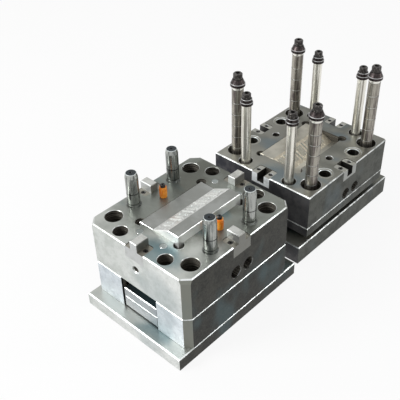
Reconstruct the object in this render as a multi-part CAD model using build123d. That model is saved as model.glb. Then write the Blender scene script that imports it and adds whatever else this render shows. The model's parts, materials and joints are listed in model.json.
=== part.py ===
from build123d import *
import os

# Plates in plan. X runs across a half, Y along it, and the two halves stand one behind the other along Y.
plate_width = 350.0
plate_length = 400.0
clamp_flange = 35.0
corner_chamfer = 17.0
corner_cut = 23.0
corner_cut_depth = 13.0
clamp_corner_radius = 4.0
stacked_corner_radius = 10.0
plate_bevel = 2.6
small_bevel = 1.2
halves_gap = 36.0
halves_shift = 16.0

# Moving half, from the floor up
moving_clamp_thickness = 40.0
spacer_height = 105.0
core_plate_thickness = 130.0

# Ejector box
box_width = 130.0
rest_button_height = 5.0
ejector_base_thickness = 35.0
ejector_retainer_thickness = 30.0
ejector_side_gap = 5.0
ejector_end_setback = 3.0

# Fixed half, from the floor up
fixed_clamp_thickness = 60.0
stripper_gap = 20.0
stripper_thickness = 30.0
cavity_plate_thickness = 110.0

# Clearances
running_clearance = 0.05
seat_clearance = 0.1
bolt_clearance = 0.5
pin_pass_clearance = 6.5
puller_pass_clearance = 1.5
free_clearance = 1.0
pin_end_gap = 1.0
cut_over = 1.0
same_size = 0.01
rim_slope = 0.9

# Leader pins and the bushes that they enter
leader_inset = 39.0
leader_y = 73.0
leader_radius = 17.5
leader_rise = 100.0
leader_tip_radius = 14.6
leader_tip_length = 12.0
leader_tip_bevel = 1.0
leader_centre_radius = 3.5
leader_centre_depth = 4.0
leader_groove_heights = (8.0, 40.0)
leader_head_radius = 21.5
leader_head_height = 10.0
leader_mouth_bevel = 3.5
groove_depth = 1.2
groove_width = 2.4
guide_bush_radius = 25.0
guide_bush_head_radius = 28.0
guide_bush_head_height = 8.0
guide_bush_setback = 1.0

# Support pins, which carry the plates of the fixed half
support_inset = 38.0
support_y = 143.0
support_radius = 17.5
support_head_radius = 21.5
support_head_height = 12.0
support_rise = 218.0
support_neck_length = 9.0
support_neck_radius = 16.6
support_first_groove = 5.0
support_pocket_gap = 4.0
support_groove_pitch = 38.0
near_support_groove_pitch = 33.0
support_bush_radius = 24.0
support_bush_head_radius = 27.0
support_bush_head_height = 6.0
support_bush_length = 60.0
support_recess_radius = 29.0
collar_radius = 22.0
collar_height = 10.0
collar_cone_height = 12.0
collar_cone_top_radius = 15.5
collar_screw = dict(shank=8.0, length=60.0, head=13.6, height=18.0, socket=14.0)

# Puller bolts, which let the cavity plate rise off the stripper plate and then hold it
puller_inset = 95.0
puller_y = 171.0
puller_radius = 14.0
puller_thread_radius = 10.0
puller_rise = 190.0
puller_collar_radius = 18.5
puller_collar_height = 20.0
puller_flange_height = 10.0
puller_ring_radius = 16.0
puller_collar_recess = 2.5
puller_seat_depth = 40.0
puller_seat_clearance = 2.5
puller_screw_clearance = 1.2
puller_screw = dict(shank=6.0, length=60.0, head=12.4, height=18.5, socket=14.0)

# Stripper plate travel
stop_bolt_inset = 75.0
stop_bolt_y = 105.0
stop_bolt_radius = 8.0
stop_bolt_head_radius = 13.0
stop_bolt_head_height = 12.0
stop_bolt_web = 20.0
stop_bolt_cover = 6.0
stop_bolt_end_gap = 2.0
stop_bolt_key = 14.0
side_spring_inset = 55.0
end_spring_inset = 30.0
opening_spring_pocket_depth = 30.0
opening_spring_radius = 15.0
opening_spring_turns = 5
spring_wire_radius = 2.3
spring_pocket_clearance = 1.5

# Ejector set
ejector_edge_inset = 18.0
ejector_top_bevel = 1.8
ejector_low_bevel = 0.6
return_gap = 25.0
return_radius = 10.0
return_head_radius = 14.0
return_head_height = 8.0
return_spring_pocket_depth = 50.0
return_spring_radius = 17.0
return_spring_turns = 6
ejector_pin_radius = 3.0
ejector_pin_xs = (-4.0, 16.0)
ejector_head_radius = 6.0
ejector_head_height = 5.0
guide_pin_y = 62.0
guide_pin_radius = 8.0
guide_pin_bite = 20.0
guide_sleeve_radius = 13.0
pillar_gap = 11.0
pillar_radius = 20.0
rest_button_radius = 12.5
rest_button_stem = 5.0
rest_button_ys = (-105.0, 0.0, 105.0)
ejector_screw = dict(shank=5.0, length=45.0, head=8.0, height=10.0, socket=8.0)
ejector_screw_y = 32.0
ejector_end_screw_x = 22.0
ejector_end_screw_inset = 17.0

# Inserts
insert_width = 140.0
insert_length = 230.0
insert_relief_radius = 14.0
insert_relief_inset = 1.5
core_insert_depth = 45.0
cavity_insert_depth = 60.0
ramp_start = -22.0
ramp_end = 34.0
ramp_rise = 27.0
form_pitch = 43.4
form_start_margin = 35.0
form_end_margin = 20.0
rib_offsets = (-9.0, -3.0, 3.0, 9.0)
rib_width = 2.4
rib_height = 2.6
rib_start = -12.0
rib_end = 20.0
bar_width = 3.4
bar_height = 4.0
bar_start = -15.0
bar_end = 27.0
form_clearance = 0.4
form_root = 1.0
insert_screw_inset = 20.0
insert_screw = dict(shank=5.0, length=0.0, head=8.0, height=10.0, socket=8.0)
insert_screw_bite = 18.0
insert_screw_grip = 40.0

# Parting locks and side locks
nylon_offset = 2.5
nylon_radius = 11.0
nylon_height = 32.0
nylon_bulge = 0.7
nylon_bore_radius = 4.6
nylon_edge = 0.8
nylon_hole_depth = 45.0
nylon_screw = dict(shank=4.0, length=50.0, head=7.0, height=8.0, socket=6.0)
lock_width = 64.0
lock_depth = 40.0
lock_height = 35.0
lock_corner_radius = 8.0
lock_setback = 1.5
lock_fit = 0.3
tongue_width = 24.0
tongue_rise = 23.0
tongue_bevel = 1.4
socket_depth = 27.0
lock_screw_spread = 22.0
lock_screw_inset = 20.0
lock_screw = dict(shank=4.0, length=50.0, head=6.5, height=8.0, socket=6.0)
lock_screw_sink = 10.0

# Water lines
port_radius = 19.0
cavity_port_radius = 17.5
port_depth = 24.0
port_thread_radius = 9.5
port_thread_length = 22.0
water_radius = 5.0
water_x = 30.0
core_port_drop = 88.0
cavity_port_drop = 88.0
core_port_ys = (-22.0, 24.0)
cavity_port_ys = (-10.0, 37.0)
water_lift = 16.0
o_ring_radius = 9.0
o_ring_section = 1.6
o_ring_groove_width = 4.0
water_plug_length = 12.0

# Fasteners that clamp the stacks, the crane threads and the press openings
clamp_screw = dict(shank=8.0, length=155.0, head=12.0, height=16.0, socket=14.0)
clamp_screw_inset = 70.0
middle_clamp_screw_inset = 55.0
clamp_screw_y = 108.0
screw_bevel_share = 0.18
screw_key_share = 0.45
plug_key_share = 0.5
screw_sink_margin = 3.0
spacer_screw = dict(shank=5.0, length=45.0, head=8.0, height=10.0, socket=8.0)
spacer_screw_inset = 25.0
spacer_screw_y = 40.0
dowel_radius = 6.0
dowel_length = 50.0
dowel_wall = 25.0
dowel_y = 52.0
crane_thread_radius = 8.75
crane_mouth_bevel = 3.0
crane_thread_depth = 34.0
core_crane_drop = 64.0
cavity_crane_drop = 66.0
knock_out_radius = 20.0
ring_seat_radius = 50.0
ring_seat_depth = 12.0
ring_screw_circle = 42.0
ring_screw_radius = 2.5
ring_screw_depth = 15.0
sprue_flange_radius = 25.0
sprue_flange_height = 16.0
sprue_stem_radius = 14.0
sprue_overlap = 8.0
sprue_channel_radius = 3.0
sprue_channel_end_radius = 4.5
nozzle_seat_radius = 15.0
nozzle_seat_sink = 4.0
lock_pin_radius = 4.0
lock_pin_ys = (-110.0, -68.0, 68.0, 110.0)
lock_pin_plug_radius = 8.0
lock_pin_plug_height = 12.0
lock_pin_head_height = 5.0
lock_pin_bite = 3.5
runner_width = 9.0
runner_depth = 5.0
gate_radius = 3.0
gate_tip_radius = 0.8

# Heights in each half's own stack, from the floor
spacer_bottom = moving_clamp_thickness
core_bottom = spacer_bottom + spacer_height
core_top = core_bottom + core_plate_thickness
base_bottom = spacer_bottom + rest_button_height
retainer_bottom = base_bottom + ejector_base_thickness
retainer_top = retainer_bottom + ejector_retainer_thickness
ejector_stroke = core_bottom - retainer_top
stripper_bottom = fixed_clamp_thickness + stripper_gap
cavity_bottom = stripper_bottom + stripper_thickness
cavity_top = cavity_bottom + cavity_plate_thickness
cavity_travel = puller_rise + puller_seat_depth
spacer_width = (plate_width - box_width) / 2
ejector_width = box_width - 2 * ejector_side_gap
ejector_length = plate_length - 2 * ejector_end_setback
clamp_length = plate_length + 2 * clamp_flange

# Places in plan, each in its own half, worked out from the plates, the insert and the ejector box
leader_x = plate_width / 2 - leader_inset
support_x = plate_width / 2 - support_inset
puller_x = plate_width / 2 - puller_inset
stop_bolt_x = plate_width / 2 - stop_bolt_inset
opening_spring_x = plate_width / 2 - side_spring_inset
opening_spring_y = plate_length / 2 - end_spring_inset
spacer_screw_x = plate_width / 2 - spacer_screw_inset
dowel_x = box_width / 2 + dowel_wall
ejector_edge_x = ejector_width / 2 - ejector_edge_inset
return_x = ejector_edge_x
guide_pin_x = ejector_edge_x
return_y = insert_length / 2 + return_gap
pillar_y = insert_length / 2 + pillar_gap
insert_screw_x = insert_width / 2 - insert_screw_inset
insert_screw_y = insert_length / 2 - insert_screw_inset
nylon_x = (insert_width / 2 + plate_width / 2 - lock_depth) / 2 - nylon_offset
clamp_screw_x = plate_width / 2 - clamp_screw_inset
clamp_screw_places = ((clamp_screw_x, clamp_screw_y), (clamp_screw_x, -clamp_screw_y),
                      (plate_width / 2 - middle_clamp_screw_inset, 0.0))

# Where each half stands
moving_place = Pos(halves_shift / 2, -(clamp_length + halves_gap) / 2, 0)
fixed_place = Pos(-halves_shift / 2, (clamp_length + halves_gap) / 2, 0)

form_first = form_start_margin - insert_length / 2
form_count = int((insert_length - form_start_margin - form_end_margin) / form_pitch) + 1
form_ys = [form_first + form_pitch * i for i in range(form_count)]
bar_ys = [form_first + form_pitch * (i + 0.5) for i in range(form_count - 1)]
runner_reach = max([abs(y) for y in form_ys] + list(lock_pin_ys)) + runner_width / 2
lock_sides = ((0.0, -plate_length / 2, 0.0), (plate_width / 2, 0.0, 90.0),
              (0.0, plate_length / 2, 180.0), (-plate_width / 2, 0.0, 270.0))


def corners(x, y):
    return [(sx * x, sy * y) for sx in (-1, 1) for sy in (-1, 1)]


def upright(radius, height, x, y, z):
    return Pos(x, y, z) * Cylinder(radius, height, align=(Align.CENTER, Align.CENTER, Align.MIN))


def bored(body, places, radius, depth, z):
    # The body with one round hole at each place, running up from z.
    for x, y in places:
        body -= upright(radius, depth, x, y, z)
    return body


def tapered(bottom_radius, top_radius, height, x, y, z):
    cone = Cone(bottom_radius, top_radius, height, align=(Align.CENTER, Align.CENTER, Align.MIN))
    return Pos(x, y, z) * cone


def ring(outer, inner, height, x, y, z):
    return upright(outer, height, x, y, z) - upright(inner, height, x, y, z)


def slab(width, length, height, z, x=0.0, y=0.0):
    return Pos(x, y, z) * Box(width, length, height, align=(Align.CENTER, Align.CENTER, Align.MIN))


def turned(outline):
    # A solid of revolution about Z from (radius, height) points.
    return revolve(make_face(Plane.XZ * Polyline(*outline, close=True)), Axis.Z)


def extruded_along_y(points, y, length):
    # A prism along Y, centred on y, whose section is given as (x, z) points.
    section = make_face(Polyline(*[(px, y + length / 2, pz) for px, pz in points], close=True))
    return extrude(section, amount=length, dir=(0, -1, 0))


def screw(shank, length, head, height, socket):
    # A socket head cap screw: the head stands on z = 0 and the shank hangs below it.
    body = upright(head, height, 0, 0, 0) + upright(shank, length, 0, 0, -length)
    rim = body.edges().group_by(Axis.Z)[-1]
    body = chamfer(rim, min(height, head) * screw_bevel_share)
    depth = height * screw_key_share
    key = extrude(RegularPolygon(socket / 2, 6), amount=depth)
    return body - Pos(0, 0, height - depth) * key


def screws(size, places, z, up=True):
    turn = Rot(0, 0, 0) if up else Rot(180, 0, 0)
    one = screw(**size)
    return [Pos(x, y, z) * turn * one for x, y in places]


def screw_hole(size, x, y, z, sink, up=True, tight=False):
    # The room that a screw needs: a sink for its head above z and a hole for its shank below it.
    shank_gap = seat_clearance if tight else bolt_clearance
    room = upright(size["head"] + bolt_clearance, sink, 0, 0, 0)
    room += upright(size["shank"] + shank_gap, size["length"] + screw_sink_margin, 0, 0,
                    -size["length"] - screw_sink_margin)
    turn = Rot(0, 0, 0) if up else Rot(180, 0, 0)
    return Pos(x, y, z) * turn * room


def outline_bevel(body, z, size):
    # Bevels the outer boundary of the flat face at height z.
    face = body.faces().filter_by(Axis.Z).sort_by(lambda f: abs(f.center().Z - z))[0]
    return chamfer(face.outer_wire().edges(), size)


def chamfered_block(width, length, height, z, corner):
    body = slab(width, length, height, z)
    return chamfer(body.edges().filter_by(Axis.Z), corner)


def plain_plate(length, height, z, corner_radius):
    # A plate with rounded corners at its far end and bevels round both faces.
    body = slab(plate_width, length, height, z)
    body = fillet(body.edges().filter_by(Axis.Z).group_by(Axis.Y)[-1], corner_radius)
    body = outline_bevel(body, z + height, plate_bevel)
    return outline_bevel(body, z, small_bevel)


def ramp_z(x):
    return ramp_rise * (x - ramp_start) / (ramp_end - ramp_start)


def insert_section(bottom, top, sense):
    half = insert_width / 2
    return [(-half, bottom), (half, bottom), (half, top + sense * ramp_rise),
            (ramp_end, top + sense * ramp_rise), (ramp_start, top), (-half, top)]


def insert_block(floor, top, sense):
    # The block with bevels along its top at both ends and both sides.
    body = extruded_along_y(insert_section(floor, top, sense), 0, insert_length)
    ends = [e for e in body.edges() if abs(abs(e.center().Y) - insert_length / 2) < same_size]
    rims = [e for e in ends if e.center().Z > floor + same_size and abs(e.tangent_at(0).Z) < rim_slope]
    low = min(top, top + sense * ramp_rise)
    sides = [e for e in body.edges() if abs(e.center().Y) < same_size and e.center().Z > low - same_size
             and abs(abs(e.center().X) - insert_width / 2) < same_size]
    return chamfer(rims + sides, small_bevel)


def ramp_strip(x_low, x_high, y, width, height, top, sense, root):
    # A strip that lies along the ramp and stands height off it, rooted a little way into it.
    low = top + sense * ramp_z(x_low)
    high = top + sense * ramp_z(x_high)
    points = [(x_low, low - root), (x_high, high - root), (x_high, high + height), (x_low, low + height)]
    return extruded_along_y(points, y, width)


def moulded_forms(top, sense):
    # Bars between the forms and small ribs within them: they stand on the core and are sunk in the cavity.
    gap = 0.0 if sense > 0 else form_clearance
    rib_ys = [y + offset for y in form_ys for offset in rib_offsets]
    strips = []
    for ys, start, end, width, tall in ((bar_ys, bar_start, bar_end, bar_width, bar_height),
                                        (rib_ys, rib_start, rib_end, rib_width, rib_height)):
        above, below = (tall, form_root) if sense > 0 else (form_root, tall + gap)
        wide = width + 2 * gap
        strips += [ramp_strip(start - gap, end + gap, sense * y, wide, above, top, sense, below) for y in ys]
    return strips


def insert_pocket(top, depth):
    pocket = slab(insert_width, insert_length, depth, top - depth)
    for x, y in corners(insert_width / 2 - insert_relief_inset, insert_length / 2 - insert_relief_inset):
        pocket += upright(insert_relief_radius, depth, x, y, top - depth)
    return pocket


def insert_screw_places():
    return corners(insert_screw_x, insert_screw_y)


def insert_screw_size():
    return dict(insert_screw, length=insert_screw_grip + insert_screw_bite)


def water_in_plate(floor, port_z, port_ys, radius):
    # Ports in the +X side, drilled in to water_x and then up to the floor of the insert pocket.
    run = plate_width / 2 - water_x
    cuts = []
    for y in port_ys:
        inward = Pos(plate_width / 2, y, port_z) * Rot(0, -90, 0)
        for bore, depth in ((radius, port_depth), (port_thread_radius, port_depth + port_thread_length),
                            (water_radius, run + water_radius)):
            cuts.append(inward * Cylinder(bore, depth, align=(Align.CENTER, Align.CENTER, Align.MIN)))
        cuts.append(upright(water_radius, floor - port_z, water_x, y, port_z))
        outer = o_ring_radius + o_ring_groove_width / 2
        inner = o_ring_radius - o_ring_groove_width / 2
        groove = 2 * o_ring_section
        cuts.append(ring(outer, inner, groove, water_x, y, floor - groove))
    return cuts


def water_in_insert(floor, port_ys):
    # A hole drilled along Y joins the two risers, and its open end takes a plug.
    level = floor + water_lift
    cuts = [upright(water_radius, level - floor, water_x, y, floor) for y in port_ys]
    front = -insert_length / 2
    reach = max(port_ys) - front
    along = Pos(water_x, front, level) * Rot(-90, 0, 0)
    cuts.append(along * Cylinder(water_radius, reach, align=(Align.CENTER, Align.CENTER, Align.MIN)))
    return cuts


def o_rings(floor, port_ys):
    z = floor - o_ring_section
    return [Pos(water_x, y, z) * Torus(o_ring_radius, o_ring_section - seat_clearance) for y in port_ys]


def water_plug(floor):
    place = Pos(water_x, -insert_length / 2, floor + water_lift) * Rot(-90, 0, 0)
    plug = Cylinder(water_radius - seat_clearance, water_plug_length,
                    align=(Align.CENTER, Align.CENTER, Align.MIN))
    key = extrude(RegularPolygon(water_radius * plug_key_share, 6), amount=water_plug_length * plug_key_share)
    return [place * (plug - key)]


def lock_place(side, top):
    x, y, angle = side
    return Pos(x, y, top) * Rot(0, 0, angle)


def lock_block(width, depth, height, setback):
    # Inward is +Y, the outer face lies on y = 0 and the plate's face on z = 0.
    body = Box(width, depth, height - setback, align=(Align.CENTER, Align.MIN, Align.MIN))
    body = Pos(0, 0, -height) * body
    inner = body.edges().filter_by(Axis.Z).group_by(Axis.Y)[-1]
    return fillet(inner, lock_corner_radius)


def lock_screw_places():
    return [(-lock_screw_spread, lock_screw_inset), (lock_screw_spread, lock_screw_inset)]


def lock_pocket():
    body = lock_block(lock_width + 2 * lock_fit, lock_depth + lock_fit, lock_height, -tongue_rise)
    for x, y in lock_screw_places():
        body += screw_hole(lock_screw, x, y, -lock_screw_sink, lock_screw_sink, tight=True)
    return body


def lock_tongue():
    body = lock_block(lock_width, lock_depth, lock_height, lock_setback)
    tall = tongue_rise + lock_setback
    tongue = Box(tongue_width, lock_depth, tall, align=(Align.CENTER, Align.MIN, Align.MIN))
    top = tongue.edges().group_by(Axis.Z)[-1]
    tongue = chamfer(top, tongue_bevel)
    body += Pos(0, 0, -lock_setback) * tongue
    for x, y in lock_screw_places():
        body -= screw_hole(lock_screw, x, y, -lock_screw_sink, lock_screw_sink)
    return body


def lock_socket():
    body = lock_block(lock_width, lock_depth, lock_height, small_bevel)
    wide = tongue_width + 2 * lock_fit
    slot = Box(wide, lock_depth + 2 * cut_over, socket_depth, align=(Align.CENTER, Align.MIN, Align.MIN))
    body -= Pos(0, -cut_over, -socket_depth) * slot
    for x, y in lock_screw_places():
        body -= screw_hole(lock_screw, x, y, -lock_screw_sink, lock_screw_sink)
    return body


def on_sides(shape, top):
    return [lock_place(side, top) * shape for side in lock_sides]


def lock_screws(top):
    found = []
    for side in lock_sides:
        for one in screws(lock_screw, lock_screw_places(), -lock_screw_sink):
            found.append(lock_place(side, top) * one)
    return found


def grooved_pin(radius, bottom, top, groove_zs):
    body = upright(radius, top - bottom, 0, 0, bottom)
    for z in groove_zs:
        body -= ring(radius + cut_over, radius - groove_depth, groove_width, 0, 0, z - groove_width / 2)
    return body


def leader_pin():
    # Its tip tapers to a bevelled end with a centre hole in it.
    tip = core_top + leader_rise
    grooves = [core_top + h for h in leader_groove_heights]
    body = grooved_pin(leader_radius, core_bottom, tip - leader_tip_length, grooves)
    body += tapered(leader_radius, leader_tip_radius, leader_tip_length, 0, 0, tip - leader_tip_length)
    body = chamfer(body.edges().group_by(Axis.Z)[-1], leader_tip_bevel)
    body -= tapered(0, leader_centre_radius, leader_centre_depth, 0, 0, tip - leader_centre_depth)
    return body + upright(leader_head_radius, leader_head_height, 0, 0, core_bottom)


def support_pin(groove_pitch):
    top = cavity_top + support_rise
    neck = top - support_neck_length
    count = int((neck - cavity_top) / groove_pitch) + 1
    first = neck - support_first_groove
    grooves = [first - groove_pitch * (i + 1) for i in range(count)]
    body = grooved_pin(support_radius, small_bevel, neck, grooves)
    body += upright(support_neck_radius, support_neck_length, 0, 0, neck)
    body += upright(support_head_radius, support_head_height - small_bevel, 0, 0, small_bevel)
    hole = collar_screw["length"] - collar_height - collar_cone_height + screw_sink_margin
    return body - upright(collar_screw["shank"] + seat_clearance, hole, 0, 0, top - hole)


def support_collar():
    top = collar_height + collar_cone_height
    points = [(0, 0), (collar_radius - small_bevel, 0), (collar_radius, small_bevel),
              (collar_radius, collar_height - small_bevel), (collar_radius - small_bevel, collar_height),
              (collar_cone_top_radius, top), (0, top)]
    body = turned(points)
    return body - upright(collar_screw["shank"] + bolt_clearance, top, 0, 0, 0)


def puller_rod():
    top = cavity_top + puller_rise
    body = upright(puller_radius, top - cavity_bottom, 0, 0, cavity_bottom)
    thread = stripper_thickness - small_bevel
    body += upright(puller_thread_radius, thread, 0, 0, cavity_bottom - thread)
    hole = puller_screw["length"] - puller_collar_height + puller_collar_recess + screw_sink_margin
    return body - upright(puller_screw["shank"] + seat_clearance, hole, 0, 0, top - hole)


def puller_collar():
    # A flange with a smaller ring on it that takes the screw's head.
    points = [(0, 0), (puller_collar_radius - small_bevel, 0), (puller_collar_radius, small_bevel),
              (puller_collar_radius, puller_flange_height - small_bevel),
              (puller_collar_radius - small_bevel, puller_flange_height),
              (puller_ring_radius, puller_flange_height),
              (puller_ring_radius, puller_collar_height - small_bevel),
              (puller_ring_radius - small_bevel, puller_collar_height), (0, puller_collar_height)]
    body = turned(points)
    seat = puller_screw["head"] + puller_screw_clearance
    body -= upright(seat, puller_collar_recess, 0, 0, puller_collar_height - puller_collar_recess)
    return body - upright(puller_screw["shank"] + bolt_clearance, puller_collar_height, 0, 0, 0)


def flanged_bush(radius, bore, length, head_radius, head_height, head_low=True):
    body = upright(radius, length, 0, 0, 0)
    body += upright(head_radius, head_height, 0, 0, 0 if head_low else length - head_height)
    body -= upright(bore, length, 0, 0, 0)
    for z in (0, length):
        edge = body.edges().filter_by(GeomType.CIRCLE)
        mouth = [e for e in edge if abs(e.center().Z - z) < same_size and abs(e.radius - bore) < same_size]
        body = chamfer(mouth, small_bevel)
    return body


def bush_room(radius, length, head_radius, head_height, x, y, z, head_low=True):
    room = upright(radius + seat_clearance, length, x, y, z)
    low = z if head_low else z + length - head_height
    return room + upright(head_radius + seat_clearance, head_height, x, y, low)


def coil_spring(radius, height, turns):
    # A round wire helix as tall as its pocket and the gap above it.
    wire = spring_wire_radius
    mean = radius - wire
    path = Helix(pitch=(height - 2 * wire) / turns, height=height - 2 * wire, radius=mean)
    section = Plane(origin=path @ 0, z_dir=path % 0) * Circle(wire)
    return Pos(0, 0, wire) * sweep(section, path=path, is_frenet=True)


def moving_clamp_plate():
    body = plain_plate(clamp_length, moving_clamp_thickness, 0, clamp_corner_radius)
    body -= upright(knock_out_radius, moving_clamp_thickness, 0, 0, 0)
    sink = clamp_screw["height"] + screw_sink_margin
    for x, y in clamp_screw_places:
        for side in (-1, 1):
            body -= screw_hole(clamp_screw, side * x, y, sink, sink, up=False)
    sink = spacer_screw["height"] + screw_sink_margin
    for x, y in corners(spacer_screw_x, spacer_screw_y):
        body -= screw_hole(spacer_screw, x, y, sink, sink, up=False)
    depth = moving_clamp_thickness - support_pocket_floor()
    for x, y in corners(support_x, support_y):
        body -= upright(support_hole_radius(), depth, x, y, support_pocket_floor())
    half = dowel_length / 2
    low = spacer_bottom - guide_pin_bite
    body = bored(body, corners(dowel_x, dowel_y), dowel_radius + seat_clearance, half, spacer_bottom - half)
    guides = corners(guide_pin_x, guide_pin_y)
    body = bored(body, guides, guide_pin_radius + seat_clearance, guide_pin_bite, low)
    body = bored(body, rest_button_places(), rest_button_stem + seat_clearance, guide_pin_bite, low)
    for side in (-1, 1):
        body -= screw_hole(pillar_screw_size(), 0, side * pillar_y, sink, sink, up=False)
    return body


def support_pocket_floor():
    # The other half's support pins reach down to here when the mould is shut.
    reach = support_rise + collar_height + collar_cone_height + collar_screw["height"] + support_pocket_gap
    return core_top - reach


def rest_button_places():
    return [(side * ejector_edge_x, y) for side in (-1, 1) for y in rest_button_ys]


def pillar_screw_size():
    return dict(spacer_screw, length=moving_clamp_thickness)


def spacer_block(side):
    body = chamfered_block(plate_width, plate_length, spacer_height, spacer_bottom, corner_chamfer)
    middle = side * (plate_width - spacer_width) / 2
    body &= slab(spacer_width, plate_length, spacer_height, spacer_bottom, middle)
    body = outline_bevel(body, core_bottom, plate_bevel)
    body = outline_bevel(body, spacer_bottom, small_bevel)
    thread = spacer_screw["length"] - spacer_bottom + spacer_screw["height"] + 2 * screw_sink_margin
    for x, y, radius, depth in ((support_x, support_y, support_hole_radius(), spacer_height),
                                (puller_x, puller_y, puller_hole_radius(), spacer_height),
                                (dowel_x, dowel_y, dowel_radius + seat_clearance, dowel_length / 2),
                                (spacer_screw_x, spacer_screw_y, spacer_screw["shank"] + seat_clearance,
                                 thread)):
        body = bored(body, one_side(side, x, y), radius, depth, spacer_bottom)
    places = [(side * x, y) for x, y in clamp_screw_places]
    return bored(body, places, clamp_screw["shank"] + bolt_clearance, spacer_height, spacer_bottom)


def one_side(side, x, y):
    return [(side * x, -y), (side * x, y)]


def support_hole_radius():
    return support_radius + pin_pass_clearance


def puller_hole_radius():
    return puller_collar_radius + puller_pass_clearance


def core_plate():
    body = chamfered_block(plate_width, plate_length, core_plate_thickness, core_bottom, corner_chamfer)
    for x, y in corners(plate_width / 2, plate_length / 2):
        body -= corner_wedge(x, y)
    body = outline_bevel(body, core_top, plate_bevel)
    body = outline_bevel(body, core_bottom, small_bevel)
    body -= insert_pocket(core_top, core_insert_depth)
    for x, y in corners(leader_x, leader_y):
        body -= upright(leader_radius + seat_clearance, core_plate_thickness, x, y, core_bottom)
        body -= upright(leader_head_radius + seat_clearance, leader_head_height, x, y, core_bottom)
        mouth = leader_radius + seat_clearance
        low = core_top - leader_mouth_bevel
        body -= tapered(mouth, mouth + leader_mouth_bevel, leader_mouth_bevel, x, y, low)
    for x, y in corners(support_x, support_y):
        body -= mouth_hole(support_hole_radius(), core_plate_thickness, x, y, core_top)
    for x, y in corners(puller_x, puller_y):
        body -= mouth_hole(puller_hole_radius(), core_plate_thickness, x, y, core_top)
    returns = corners(return_x, return_y)
    guides = corners(guide_pin_x, guide_pin_y)
    spring_room = return_spring_radius + spring_pocket_clearance
    under_insert = core_plate_thickness - core_insert_depth
    body = bored(body, returns, return_radius + running_clearance, core_plate_thickness, core_bottom)
    body = bored(body, returns, spring_room, return_spring_pocket_depth, core_bottom)
    body = bored(body, ejector_pin_places(), ejector_pin_radius + free_clearance, under_insert, core_bottom)
    body = bored(body, guides, guide_pin_radius + seat_clearance, guide_pin_bite, core_bottom)
    floor = core_top - core_insert_depth
    head_level = floor - insert_screw_grip
    for x, y in insert_screw_places():
        body -= screw_hole(insert_screw_size(), x, y, head_level, head_level - core_bottom, up=False)
    thread = clamp_screw["length"] + clamp_screw["height"] + 2 * screw_sink_margin - core_bottom
    places = [(side * x, y) for x, y in clamp_screw_places for side in (-1, 1)]
    body = bored(body, places, clamp_screw["shank"] + seat_clearance, thread, core_bottom)
    thread = nylon_screw["length"] - nylon_height + screw_sink_margin
    places = [(-nylon_x, 0), (nylon_x, 0)]
    body = bored(body, places, nylon_screw["shank"] + seat_clearance, thread, core_top - thread)
    for cut in on_sides(lock_pocket(), core_top):
        body -= cut
    for cut in water_in_plate(floor, core_top - core_port_drop, core_port_ys, port_radius):
        body -= cut
    return body - crane_holes(core_top - core_crane_drop)


def corner_wedge(x, y):
    # The extra cut at the top of each vertical corner, wider at the face than lower down.
    sx = 1 if x > 0 else -1
    sy = 1 if y > 0 else -1
    low = core_top - corner_cut_depth
    foot = corner_chamfer
    beyond = (x + sx * corner_cut, y + sy * corner_cut)
    upper = Polyline((x - sx * corner_cut, y, core_top), (x, y - sy * corner_cut, core_top),
                     (*beyond, core_top), close=True)
    lower = Polyline((x - sx * foot, y, low), (x, y - sy * foot, low), (*beyond, low), close=True)
    return loft([make_face(lower), make_face(upper)], ruled=True)


def mouth_hole(radius, depth, x, y, top):
    # A through hole with a small bevel at its mouth.
    hole = upright(radius, depth, x, y, top - depth)
    return hole + tapered(radius, radius + small_bevel, small_bevel, x, y, top - small_bevel)


def crane_holes(z):
    hole = upright(crane_thread_radius, crane_mouth_bevel + crane_thread_depth, 0, 0, 0)
    hole += tapered(crane_thread_radius + crane_mouth_bevel, crane_thread_radius, crane_mouth_bevel, 0, 0, 0)
    front = Pos(0, -plate_length / 2, z) * Rot(-90, 0, 0) * hole
    back = Pos(0, plate_length / 2, z) * Rot(90, 0, 0) * hole
    return front + back


def ejector_pin_places():
    return [(x, y) for y in form_ys for x in ejector_pin_xs]


def core_insert():
    floor = core_top - core_insert_depth
    body = insert_block(floor, core_top, 1)
    for strip in moulded_forms(core_top, 1):
        body += strip
    tall = core_insert_depth + ramp_rise + bar_height + cut_over
    thread = insert_screw_bite + screw_sink_margin
    body = bored(body, ejector_pin_places(), ejector_pin_radius + running_clearance, tall, floor)
    body = bored(body, insert_screw_places(), insert_screw["shank"] + seat_clearance, thread, floor)
    for cut in water_in_insert(floor, core_port_ys):
        body -= cut
    return body


def ejector_pin(x, y):
    top = core_top + ramp_z(x + ejector_pin_radius)
    body = upright(ejector_pin_radius, top - retainer_bottom, x, y, retainer_bottom)
    over = 2 * ramp_rise
    half = ejector_pin_radius + cut_over
    low = core_top + ramp_z(x - half)
    high = core_top + ramp_z(x + half)
    cap = [(x - half, low), (x + half, high), (x + half, high + over), (x - half, low + over)]
    body -= extruded_along_y(cap, y, 2 * half)
    return body + upright(ejector_head_radius, ejector_head_height, x, y, retainer_bottom)


def return_pin():
    body = upright(return_radius, core_top - retainer_bottom, 0, 0, retainer_bottom)
    body = chamfer(body.edges().group_by(Axis.Z)[-1], ejector_low_bevel)
    return body + upright(return_head_radius, return_head_height, 0, 0, retainer_bottom)


def ejector_plate(z, thickness):
    body = slab(ejector_width, ejector_length, thickness, z)
    return outline_bevel(outline_bevel(body, z + thickness, ejector_top_bevel), z, ejector_low_bevel)


def ejector_through_cuts(z, thickness):
    guides = corners(guide_pin_x, guide_pin_y)
    cuts = [upright(guide_sleeve_radius + seat_clearance, thickness, x, y, z) for x, y in guides]
    cuts += [upright(pillar_radius + free_clearance, thickness, 0, side * pillar_y, z) for side in (-1, 1)]
    return cuts


def ejector_screw_places():
    end_y = ejector_length / 2 - ejector_end_screw_inset
    return corners(ejector_edge_x, ejector_screw_y) + corners(ejector_end_screw_x, end_y)


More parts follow.
